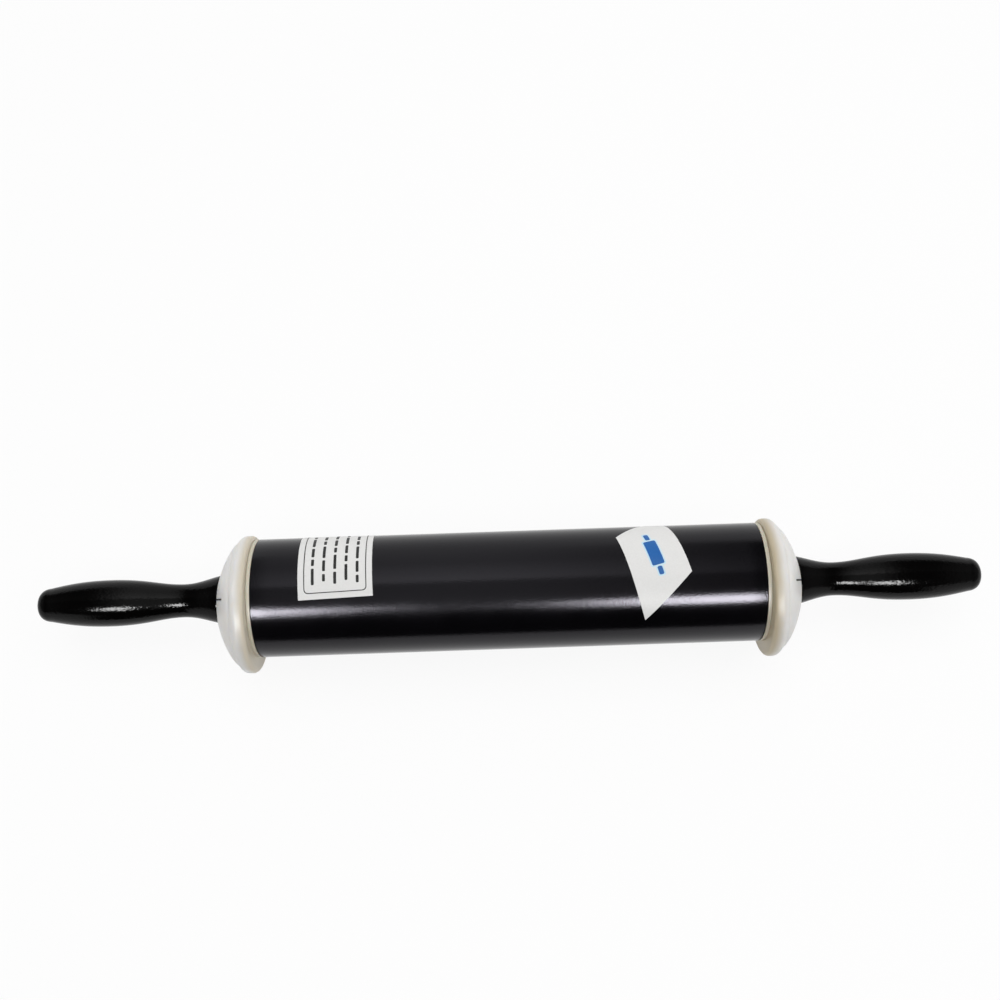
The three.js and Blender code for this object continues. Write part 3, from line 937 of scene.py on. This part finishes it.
# Calendered vinyl: smooth and white, with the coating's waviness showing through
vinyl, tree, shader, own = start_finish(
    "white_label_vinyl", {"IOR": 1.5, "Specular IOR Level": 0.25, "Roughness": 0.45},
)
fibre = add(tree, "ShaderNodeTexNoise", {"Scale": 1 / VINYL_GRAIN, "Detail": 2}, {"Vector": own})
white = add(
    tree, "ShaderNodeMix", {"A": linear("#ebebea"), "B": linear("#e2e1df")},
    {"Factor": fibre.outputs["Fac"]}, data_type="RGBA",
)
tree.links.new(white.outputs["Result"], shader.inputs["Base Color"])
ripple = add(
    tree, "ShaderNodeBump",
    {"Strength": 0.4, "Distance": VINYL_GRAIN_DEPTH}, {"Height": fibre.outputs["Fac"]},
)
tree.links.new(ripple.outputs["Normal"], shader.inputs["Normal"])

# Screen-printed: brighter and smoother than the black
blue_ink = printed_ink("printed_blue_ink", "#0f58a3", "#1c6ab4", 0.36)
pale_ink = printed_ink("printed_pale_blue_ink", "#bfe0f2", "#d2eaf5", 0.36)
print("label finishes:", vinyl.name, blue_ink.name, pale_ink.name)

# %% [markdown]
# ## Laying a label on the barrel
#
# A label starts flat, as a slab in two directions: along the barrel, and around it. It is sliced every
# millimetre, then each point is carried round the barrel by its distance. A Shrinkwrap modifier could
# press a sheet on too, but it would stretch the print, and a wrapped sheet keeps its size.

# %% Wrap
LABEL_SLICE = 1 * MM


def wrap(piece, finish):
    """Bends a flat slab of (height, along, around) round the barrel. Around counts from the top line,
    and grows towards the front."""
    shape = bmesh.new()
    shape.from_mesh(piece.data)
    reach = sorted(vert.co.z for vert in shape.verts)
    slices = math.ceil((reach[-1] - reach[0]) / LABEL_SLICE)
    for k in range(1, slices):
        where = (0, 0, reach[0] + (reach[-1] - reach[0]) * k / slices)
        everything = shape.verts[:] + shape.edges[:] + shape.faces[:]
        bmesh.ops.bisect_plane(
            shape, geom=everything, dist=SAME_PLACE, plane_co=where, plane_no=(0, 0, 1),
        )
    for vert in shape.verts:
        height, along, around = vert.co
        angle = around / barrel_radius
        radius = barrel_radius + height
        vert.co = axis + Vector((along, -radius * math.sin(angle), radius * math.cos(angle)))
    bmesh.ops.recalc_face_normals(shape, faces=shape.faces)
    shape.to_mesh(piece.data)
    shape.free()
    dress(piece, "barrel", finish)
    print(piece.name, "faces:", len(piece.data.polygons))


def placed(outline, origin, turn):
    """A flat outline turned and moved on the unrolled barrel."""
    spin = Matrix.Rotation(turn, 2)
    return [tuple(spin @ Vector(point) + Vector(origin)) for point in outline]


def bar(start, end, width, radius):
    """A bar from one point to another, with rounded corners."""
    start, end = Vector(start), Vector(end)
    side = (end - start).normalized().orthogonal() * width / 2
    return rounded((start + side, end + side, end - side, start - side), [radius] * 4, 3)


print("slices per centimetre:", round(10 * MM / LABEL_SLICE))

# %% [markdown]
# ## Ruled label
#
# The left label has a thin border with rounded corners and rows of plain dashes. It was stuck on by
# hand, a little askew, and runs over the top of the barrel. Its own frame has one direction across the
# label, along the barrel, and the other up the label, towards the back.

# %% Ruled label
RULED_WIDTH = 38.5 * MM
RULED_LENGTH = 57 * MM
RULED_CORNER = (-108.2 * MM, 9.1 * MM)
RULED_TILT = math.radians(-1.9)
BORDER_INSET = 3 * MM
BORDER_LINE = 0.5 * MM
BORDER_ROUND = 2.6 * MM
ROW_COUNT = 5
ROW_PITCH = 5.8 * MM
ROW_MARGIN = 7.4 * MM
DASHES = (9 * MM, 4 * MM, 6.5 * MM)
DASH_GAP = 1.6 * MM
DASH_WIDTH = 1.5 * MM
DASH_ROUND = 0.5 * MM
VINYL_THICKNESS = 0.12 * MM
INK_THICKNESS = 0.03 * MM
GLUE_LINE = 0.02 * MM


def rectangle(inset):
    """The ruled label's edge set in by a distance, up the label as a negative distance around."""
    low, wide, far = inset, RULED_WIDTH - inset, inset - RULED_LENGTH
    return ((low, -low), (wide, -low), (wide, far), (low, far))


vinyl_top = GLUE_LINE + VINYL_THICKNESS
sheet = placed(rectangle(0), RULED_CORNER, RULED_TILT)
wrap(slab("ruled_label", [sheet], GLUE_LINE, vinyl_top), vinyl)

edges = []
for inset in (BORDER_INSET, BORDER_INSET + BORDER_LINE):
    radius = BORDER_ROUND + BORDER_INSET - inset
    edges.append(placed(rounded(rectangle(inset), [radius] * 4, 6), RULED_CORNER, RULED_TILT))
outer_edge, inner_edge = edges
count = len(outer_edge)
border = [
    (outer_edge[k], outer_edge[(k + 1) % count], inner_edge[(k + 1) % count], inner_edge[k])
    for k in range(count)
]
first_row = (RULED_WIDTH - (ROW_COUNT - 1) * ROW_PITCH) / 2
dashes = []
for row in range(ROW_COUNT):
    across_label = first_row + row * ROW_PITCH
    up = ROW_MARGIN + (row % 2) * DASH_GAP
    turn = row
    while up + DASHES[turn % len(DASHES)] < RULED_LENGTH - ROW_MARGIN:
        length = DASHES[turn % len(DASHES)]
        dash = bar((across_label, -up), (across_label, -up - length), DASH_WIDTH, DASH_ROUND)
        dashes.append(placed(dash, RULED_CORNER, RULED_TILT))
        up += length + DASH_GAP
        turn += 1
wrap(slab("ruled_label_print", border + dashes, vinyl_top, vinyl_top + INK_THICKNESS), ink)

# %% [markdown]
# ## Picture label
#
# The right label is a slanted strip. Its corners are given as two edges from its lowest corner: a long
# side that runs up over the barrel, and a short end. A small blue pin with a pale edge is printed along it.

# %% Picture label
STRIP_CORNER = Vector((70.1 * MM, 26.2 * MM))
STRIP_SIDE = Vector((-12.8 * MM, -48.4 * MM))
STRIP_END = Vector((24.5 * MM, -25.4 * MM))
PICTURE_BODY = 15 * MM
PICTURE_WIDTH = 6.6 * MM
PICTURE_HANDLE = 4.6 * MM
PICTURE_HANDLE_WIDTH = 2.6 * MM
PICTURE_GAP = 0.9 * MM
PICTURE_EDGE = 0.75 * MM
PICTURE_ROUND = 0.9 * MM

low_end = (STRIP_CORNER, STRIP_CORNER + STRIP_END)
strip = [*low_end, low_end[1] + STRIP_SIDE, low_end[0] + STRIP_SIDE]
wrap(slab("picture_label", [strip], GLUE_LINE, vinyl_top), vinyl)

middle = STRIP_CORNER + (STRIP_SIDE + STRIP_END) / 2
lengthwise = STRIP_SIDE.normalized()


def little_pin(edge):
    """The printed pin: a barrel and two handles, each swollen by an edge."""
    half = PICTURE_BODY / 2
    spans = [(-half, half, PICTURE_WIDTH)]
    for side in (-1, 1):
        near = side * (half + PICTURE_GAP)
        spans.append((near, near + side * PICTURE_HANDLE, PICTURE_HANDLE_WIDTH))
    shapes = []
    for start, end, width in spans:
        grow = math.copysign(edge, end - start)
        ends = middle + lengthwise * (start - grow), middle + lengthwise * (end + grow)
        shapes.append(bar(*ends, width + 2 * edge, PICTURE_ROUND + edge / 2))
    return shapes


pale_top = vinyl_top + INK_THICKNESS
wrap(slab("picture_label_edge", little_pin(PICTURE_EDGE), vinyl_top, pale_top), pale_ink)
wrap(slab("picture_label_print", little_pin(0), pale_top, pale_top + INK_THICKNESS), blue_ink)

# %% [markdown]
# ## Metals inside the pin
#
# Axle, bushes, rings, springs, nuts and inserts sit inside and keep their CAD solids. Each still gets
# the finish of its own metal, because the part may be taken apart or cut open, and the thrust washers
# get the plugs' nylon. A metal keeps the default IOR, and its character comes from colour, roughness
# and the marks of the tool that made it.

# %% Steel, spring steel, bronze and brass
ROUGHNESS_SPREAD = 0.08


def metal_finish(name, colours, roughness, mark, depth):
    """A bare metal with tool marks of a given size along, round and across it."""
    material, tree, shader, own = start_finish(name, {"Metallic": 1})
    place = add(tree, "ShaderNodeMapping", {"Scale": per_metre(*mark)}, {"Vector": own})
    noise = add(
        tree, "ShaderNodeTexNoise", {"Scale": 1, "Detail": 3}, {"Vector": place.outputs["Vector"]},
    )
    colour = add(
        tree, "ShaderNodeMix", {"A": linear(colours[0]), "B": linear(colours[1])},
        {"Factor": noise.outputs["Fac"]}, data_type="RGBA",
    )
    tree.links.new(colour.outputs["Result"], shader.inputs["Base Color"])
    rough = add(
        tree, "ShaderNodeMapRange",
        {"To Min": roughness - ROUGHNESS_SPREAD, "To Max": roughness + ROUGHNESS_SPREAD},
        {"Value": noise.outputs["Fac"]},
    )
    tree.links.new(rough.outputs["Result"], shader.inputs["Roughness"])
    bump = add(
        tree, "ShaderNodeBump", {"Strength": 0.7, "Distance": depth}, {"Height": noise.outputs["Fac"]},
    )
    tree.links.new(bump.outputs["Normal"], shader.inputs["Normal"])
    return material


# Drawn through a die: bright, with scratches along the bar
steel = metal_finish(
    "drawn_bright_steel", ("#b4b6b9", "#c6c8ca"), 0.26, (14 * MM, 0.4 * MM), 0.01 * MM,
)
# Rolled and blued: dark, with a cloudy oxide
spring_steel = metal_finish("blued_spring_steel", ("#4d545e", "#6c727a"), 0.34, (2.5 * MM,), 0.01 * MM)
# Pressed from powder: dull, with open pores that hold oil
bronze = metal_finish("sintered_bronze", ("#7d5c33", "#a97f49"), 0.48, (0.35 * MM,), 0.03 * MM)
# Turned on a lathe: bright rings round the axis
brass = metal_finish("turned_brass", ("#c29d4f", "#d8b768"), 0.24, (0.3 * MM, 6 * MM), 0.01 * MM)

INNER_FINISHES = {
    "axle_rod": steel,
    "lock_nut": steel,
    "retaining_ring": spring_steel,
    "index_spring": spring_steel,
    "bearing_bush": bronze,
    "threaded_insert": brass,
    "thrust_washer": nylon,
}
dressed = 0
for name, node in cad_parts.items():
    kind = name.removeprefix("left_").removeprefix("right_")
    if kind in INNER_FINISHES:
        for material_slot in node.material_slots:
            material_slot.material = INNER_FINISHES[kind]
        dressed += 1
print("inner pieces dressed:", dressed)

# %% [markdown]
# ## Floor
#
# The photograph has a bare white ground. A floor lit until it is white would flood the caps with light,
# so the floor is a plain white board, and what the camera and reflections see of it is lifted most of
# the way to white. The rest is its own diffuse light, which keeps the pin's shadow.

# %% White floor
FLOOR_WIDTH = 4.0
FLOOR_FRONT = -0.215
FLOOR_BACK = 3.0
FLOOR_LIFT = 0.9

floor_material = bpy.data.materials.new("white_board")
floor_material.use_nodes = True
tree = floor_material.node_tree
tree.nodes.clear()
board = add(tree, "ShaderNodeBsdfDiffuse", {"Color": linear("#fafafa")})
glow = add(tree, "ShaderNodeEmission", {"Color": linear("#ffffff"), "Strength": 1})
path = add(tree, "ShaderNodeLightPath")
seen = add(
    tree, "ShaderNodeMath",
    links={0: path.outputs["Is Camera Ray"], 1: path.outputs["Is Glossy Ray"]}, operation="ADD",
)
seen_through = add(
    tree, "ShaderNodeMath",
    links={0: seen.outputs["Value"], 1: path.outputs["Is Transmission Ray"]},
    operation="ADD", use_clamp=True,
)
lift = add(
    tree, "ShaderNodeMath", {1: FLOOR_LIFT}, {0: seen_through.outputs["Value"]}, operation="MULTIPLY",
)
mixed = add(
    tree, "ShaderNodeMixShader",
    links={"Fac": lift.outputs["Value"], 1: board.outputs["BSDF"], 2: glow.outputs["Emission"]},
)
add(tree, "ShaderNodeOutputMaterial", links={"Surface": mixed.outputs["Shader"]})

floor_shape = bmesh.new()
side = FLOOR_WIDTH / 2
corners = ((-side, FLOOR_FRONT), (side, FLOOR_FRONT), (side, FLOOR_BACK), (-side, FLOOR_BACK))
floor_shape.faces.new([floor_shape.verts.new((x, y, 0)) for x, y in corners])
floor = new_piece("floor", floor_shape)
floor.data.materials.append(floor_material)
floor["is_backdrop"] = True
print("floor", FLOOR_WIDTH, "m wide")

# %% [markdown]
# ## Light
#
# A wide soft lamp hangs over the pin, a little to its right, and lights it evenly. Two strip lamps stand
# in front, left and right of the camera, and draw the long highlight on the barrel. In a studio a black
# cloth would keep each lamp out of where it isn't wanted. Here the overhead lamp is kept out of
# reflections, and the strips light nothing but reflections.

# %% Lamps
OVERHEAD_SIZE = 2.0
OVERHEAD_HEIGHT = 1.5
OVERHEAD_POWER = 19
OVERHEAD_SHIFT = 0.22
STRIP_DISTANCE = 1.5
STRIP_HEIGHT = 0.37
STRIP_RADIANCE = 47
# Where each strip starts and ends along the pin, and how high it stands in degrees
STRIPS = {"left_strip": (-0.75, -0.37, 48.5), "right_strip": (0.20, 0.58, 46)}


def add_lamp(name, place, width, height, power):
    """A soft rectangular lamp that faces the pin."""
    data = bpy.data.lights.new(name, "AREA")
    data.shape = "RECTANGLE"
    data.size = width
    data.size_y = height
    data.energy = power
    lamp = bpy.data.objects.new(name, data)
    lamp.location = axis + place
    lamp.rotation_mode = "QUATERNION"
    lamp.rotation_quaternion = (-place).to_track_quat("-Z", "Y")
    bpy.context.scene.collection.objects.link(lamp)
    return lamp


over_pin = Vector((OVERHEAD_SHIFT, 0, OVERHEAD_HEIGHT))
overhead = add_lamp("overhead", over_pin, OVERHEAD_SIZE, OVERHEAD_SIZE, OVERHEAD_POWER)
overhead.visible_glossy = False
for name, (start, end, degrees) in STRIPS.items():
    up = math.radians(degrees)
    place = STRIP_DISTANCE * Vector((0, -math.cos(up), math.sin(up)))
    place.x = (start + end) / 2
    # A lamp's power is its radiance times its area, times pi
    power = STRIP_RADIANCE * (end - start) * STRIP_HEIGHT * math.pi
    strip_lamp = add_lamp(name, place, end - start, STRIP_HEIGHT, power)
    strip_lamp.visible_diffuse = False
    print(f"{name}: {power:.1f} W")

# %% [markdown]
# ## Room
#
# What a black barrel shows is the room it stands in. One plain grey all round would leave it flat, and a
# photograph of a room would be a file to carry along, so it is drawn from the direction alone: a pale band
# overhead that is strongest left of the middle, white low down all round, as if the floor ran up into a
# paper sweep, and a dark cloth low in front. The barrel mirrors that cloth as the black band under its
# highlight.

# %% Room
ROOM_LIGHT = 1.07
BAND_LIGHT = 2.1
FRONT_LIGHT = 0.8
SIDE_LIGHT = 0.25
SWEEP_LIGHT = 0.985
SWEEP_END = math.radians(10)
SWEEP_FADE = math.radians(22)
CLOTH_LIGHT = 0.03
BAND_START = math.radians(7)
BAND_FADE = math.radians(38)
BAND_MIDDLE = -0.07
BAND_EDGE = 0.02
CLOTH_ELEVATION = math.radians(9)
CLOTH_REACH = math.radians(27)
CLOTH_EDGE = math.radians(35)
# Sines of angles to the side, between which the ceiling dims, the walls begin and the cloth ends
DIM_SINES = (0.03, 0.36)
DIM_LEAST = 0.06
WALL_SINES = (0.5, 0.8)
CLOTH_SINES = (0.36, 0.46)

world = bpy.data.worlds.new("room")
bpy.context.scene.world = world
world.use_nodes = True
tree = world.node_tree
tree.nodes.clear()
direction = add(tree, "ShaderNodeTexCoord").outputs["Generated"]
parts = add(tree, "ShaderNodeSeparateXYZ", links={"Vector": direction})

# How far a direction lies behind the line overhead where the pale band starts
behind_way = (0, math.cos(BAND_START), -math.sin(BAND_START))
behind = add(tree, "ShaderNodeVectorMath", {1: behind_way}, {0: direction}, operation="DOT_PRODUCT")
fade = add(
    tree, "ShaderNodeMapRange",
    {"From Min": 0, "From Max": math.sin(BAND_FADE), "To Min": BAND_LIGHT, "To Max": ROOM_LIGHT},
    {"Value": behind.outputs["Value"]},
)
past_line = add(
    tree, "ShaderNodeMapRange", {"From Min": -BAND_EDGE, "From Max": BAND_EDGE},
    {"Value": behind.outputs["Value"]},
)
ceiling = add(
    tree, "ShaderNodeMix", {"A": FRONT_LIGHT},
    {"Factor": past_line.outputs["Result"], "B": fade.outputs["Result"]}, data_type="FLOAT",
)

# The ceiling dims to both sides, and the side walls are a dim grey
sideways = add(
    tree, "ShaderNodeMath", {1: BAND_MIDDLE}, {0: parts.outputs["X"]}, operation="SUBTRACT",
)
aside = add(tree, "ShaderNodeMath", links={0: sideways.outputs["Value"]}, operation="ABSOLUTE")
dimming = add(
    tree, "ShaderNodeMapRange",
    {"From Min": DIM_SINES[0], "From Max": DIM_SINES[1], "To Min": 1, "To Max": DIM_LEAST},
    {"Value": aside.outputs["Value"]}, interpolation_type="SMOOTHSTEP",
)
walls = add(
    tree, "ShaderNodeMapRange",
    {"From Min": WALL_SINES[0], "From Max": WALL_SINES[1], "To Min": 0, "To Max": SIDE_LIGHT},
    {"Value": aside.outputs["Value"]}, interpolation_type="SMOOTHSTEP",
)
upper = add(
    tree, "ShaderNodeMath",
    links={0: ceiling.outputs["Result"], 1: dimming.outputs["Result"], 2: walls.outputs["Result"]},
    operation="MULTIPLY_ADD",
)
above = add(
    tree, "ShaderNodeMapRange",
    {"From Min": math.sin(SWEEP_END), "From Max": math.sin(SWEEP_FADE)},
    {"Value": parts.outputs["Z"]}, interpolation_type="SMOOTHSTEP",
)
around = add(
    tree, "ShaderNodeMix", {"A": SWEEP_LIGHT},
    {"Factor": above.outputs["Result"], "B": upper.outputs["Value"]}, data_type="FLOAT",
)

# How near a direction lies to the middle of the dark cloth, which ends sooner at its sides
cloth_way = (0, -math.cos(CLOTH_ELEVATION), math.sin(CLOTH_ELEVATION))
facing = add(tree, "ShaderNodeVectorMath", {1: cloth_way}, {0: direction}, operation="DOT_PRODUCT")
cloth = add(
    tree, "ShaderNodeMapRange",
    {"From Min": math.cos(CLOTH_EDGE), "From Max": math.cos(CLOTH_REACH)},
    {"Value": facing.outputs["Value"]}, interpolation_type="SMOOTHSTEP",
)
off_side = add(tree, "ShaderNodeMath", links={0: parts.outputs["X"]}, operation="ABSOLUTE")
narrow = add(
    tree, "ShaderNodeMapRange",
    {"From Min": CLOTH_SINES[0], "From Max": CLOTH_SINES[1], "To Min": 1, "To Max": 0},
    {"Value": off_side.outputs["Value"]}, interpolation_type="SMOOTHSTEP",
)
dark = add(
    tree, "ShaderNodeMath", links={0: cloth.outputs["Result"], 1: narrow.outputs["Result"]},
    operation="MULTIPLY",
)
strength = add(
    tree, "ShaderNodeMix", {"B": CLOTH_LIGHT},
    {"Factor": dark.outputs["Value"], "A": around.outputs["Result"]}, data_type="FLOAT",
)
room = add(
    tree, "ShaderNodeBackground",
    {"Color": linear("#ffffff")}, {"Strength": strength.outputs["Result"]},
)
add(tree, "ShaderNodeOutputWorld", links={"Surface": room.outputs["Background"]})
bpy.context.scene.view_settings.view_transform = "Standard"
print("room nodes:", len(tree.nodes))

# %% [markdown]
# ## Size
#
# The finer skins may not change the pin's size, so the CAD box and the dressed box are both measured
# and printed.

# %% Measure both boxes
visual_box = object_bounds()
boxes = {
    "cad": [list(point) for point in cad_box],
    "visual": [list(point) for point in visual_box],
}
for name, (low, high) in boxes.items():
    print(name, [round((b - a) / MM, 2) for a, b in zip(low, high)])
